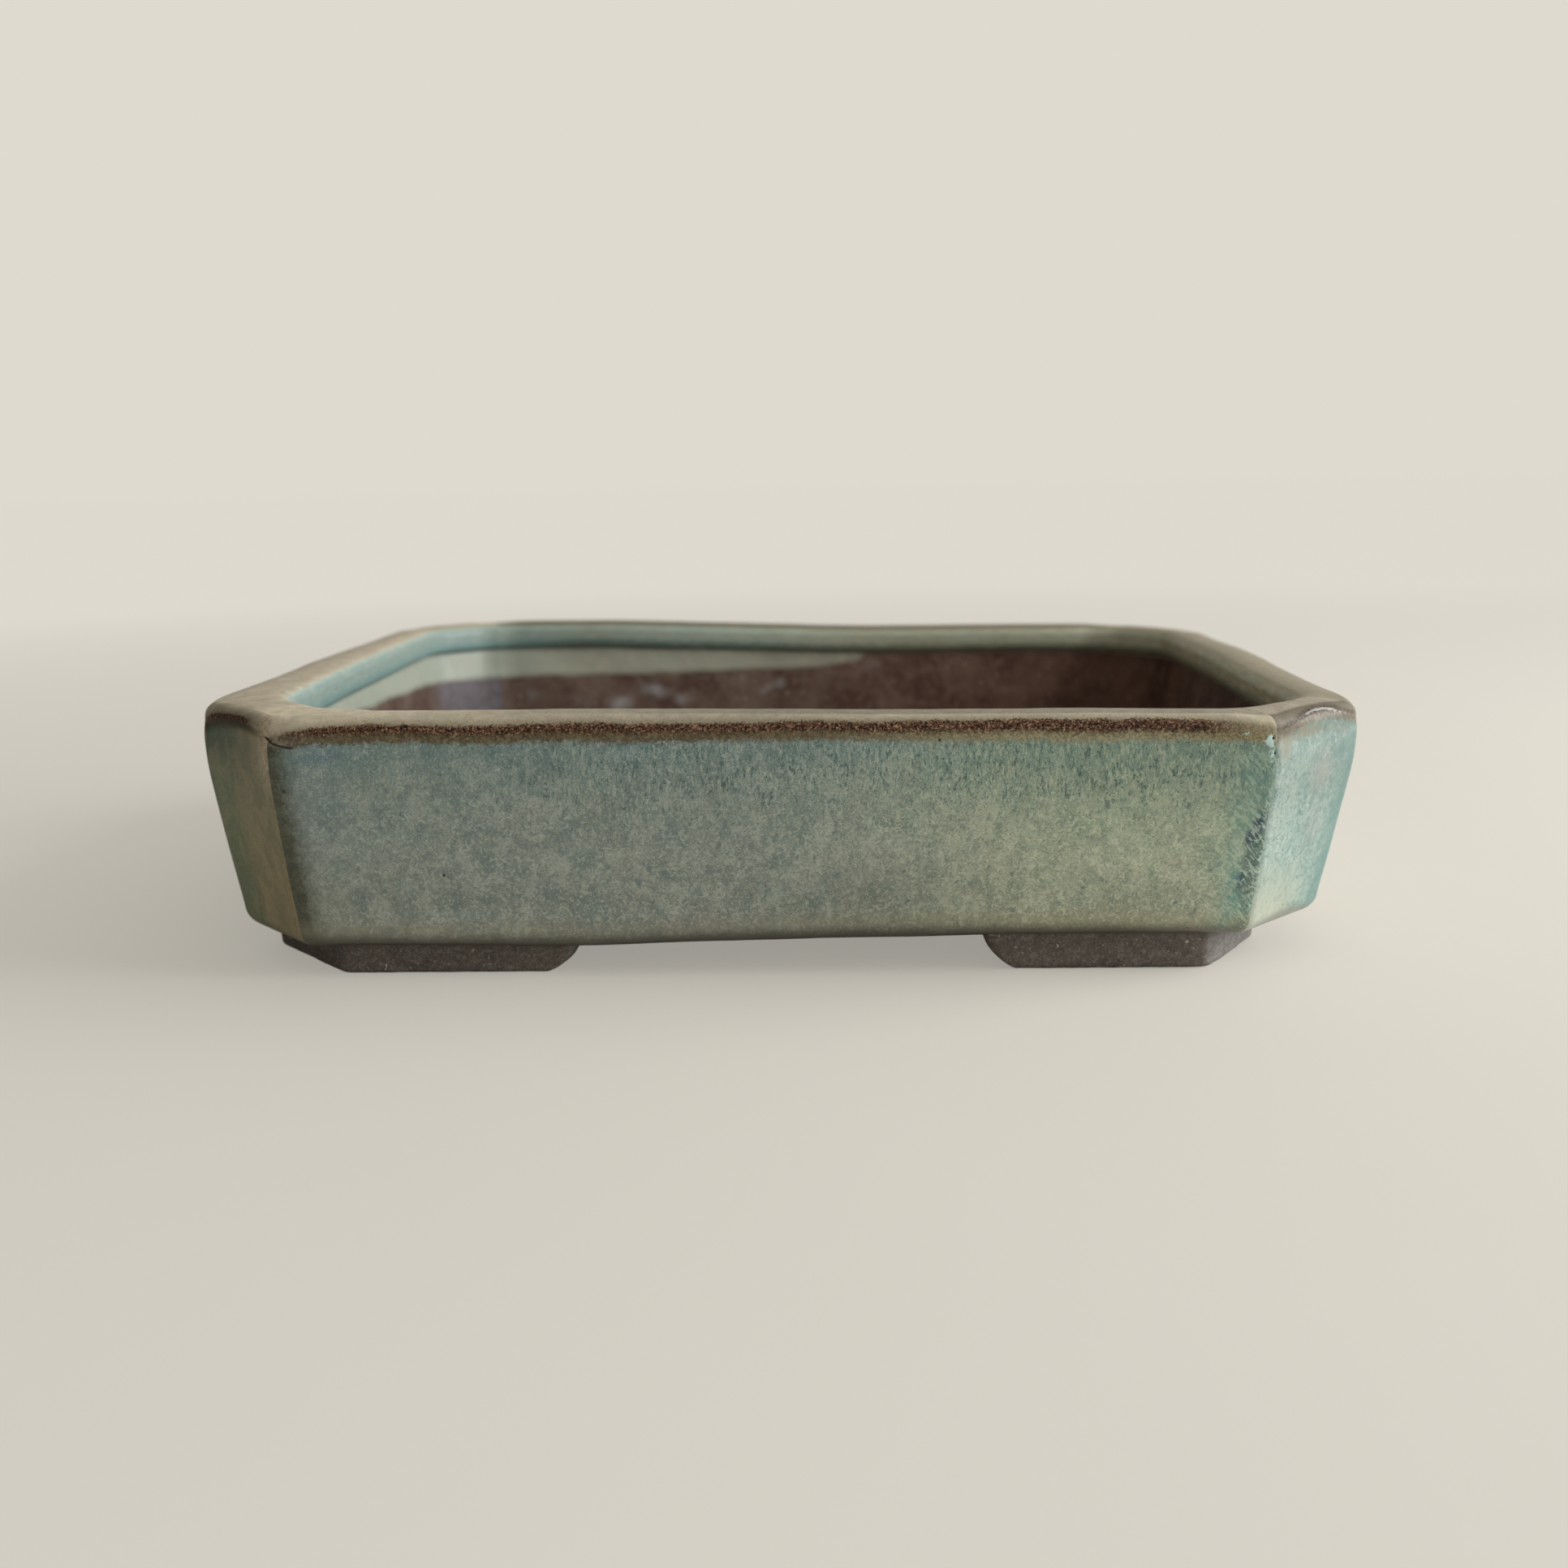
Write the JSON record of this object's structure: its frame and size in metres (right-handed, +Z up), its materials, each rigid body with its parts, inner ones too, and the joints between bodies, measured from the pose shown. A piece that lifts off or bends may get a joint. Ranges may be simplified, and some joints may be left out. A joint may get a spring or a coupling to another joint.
{
  "type": "bonsai pot",
  "caption": "Shallow rectangular slab-built bonsai pot with cut corners, rounded lip and corner feet, with drain screens held by wire clips over the drain holes.",
  "frame": {"origin": "centre of the foot plane, under the middle of the pot", "axes": "+X along the long side, +Y from front to back, +Z up"},
  "size_m": [0.176, 0.14, 0.04],
  "materials": {
    "glazed_stoneware": "satin-gloss mottled blue-green glaze breaking to brown at the edges",
    "bare_stoneware": "unglazed, matte, gritty",
    "screen_mesh": "moulded mesh, matte",
    "clip_wire": "anodised, satin"
  },
  "bodies": {
    "pot": {"floor_slab": "bare_stoneware", "front_wall": "glazed_stoneware", "back_wall": "glazed_stoneware", "left_wall": "glazed_stoneware", "right_wall": "glazed_stoneware", "front_left_corner_wall": "glazed_stoneware", "front_right_corner_wall": "glazed_stoneware", "back_left_corner_wall": "glazed_stoneware", "back_right_corner_wall": "glazed_stoneware", "front_lip": "glazed_stoneware", "back_lip": "glazed_stoneware", "left_lip": "glazed_stoneware", "right_lip": "glazed_stoneware", "front_left_corner_lip": "glazed_stoneware", "front_right_corner_lip": "glazed_stoneware", "back_left_corner_lip": "glazed_stoneware", "back_right_corner_lip": "glazed_stoneware", "front_left_foot": "bare_stoneware", "front_right_foot": "bare_stoneware", "back_left_foot": "bare_stoneware", "back_right_foot": "bare_stoneware"},
    "left_drain_cover": {"left_drain_screen": "screen_mesh", "left_screen_clip": "clip_wire"},
    "right_drain_cover": {"right_drain_screen": "screen_mesh", "right_screen_clip": "clip_wire"}
  },
  "joints": [
    {"name": "left_cover_lift", "type": "slide", "parent": "pot", "child": "left_drain_cover", "axis": [0, 0, 1], "range_m": [0, 0.045]},
    {"name": "right_cover_lift", "type": "slide", "parent": "pot", "child": "right_drain_cover", "axis": [0, 0, 1], "range_m": [0, 0.045]}
  ]
}
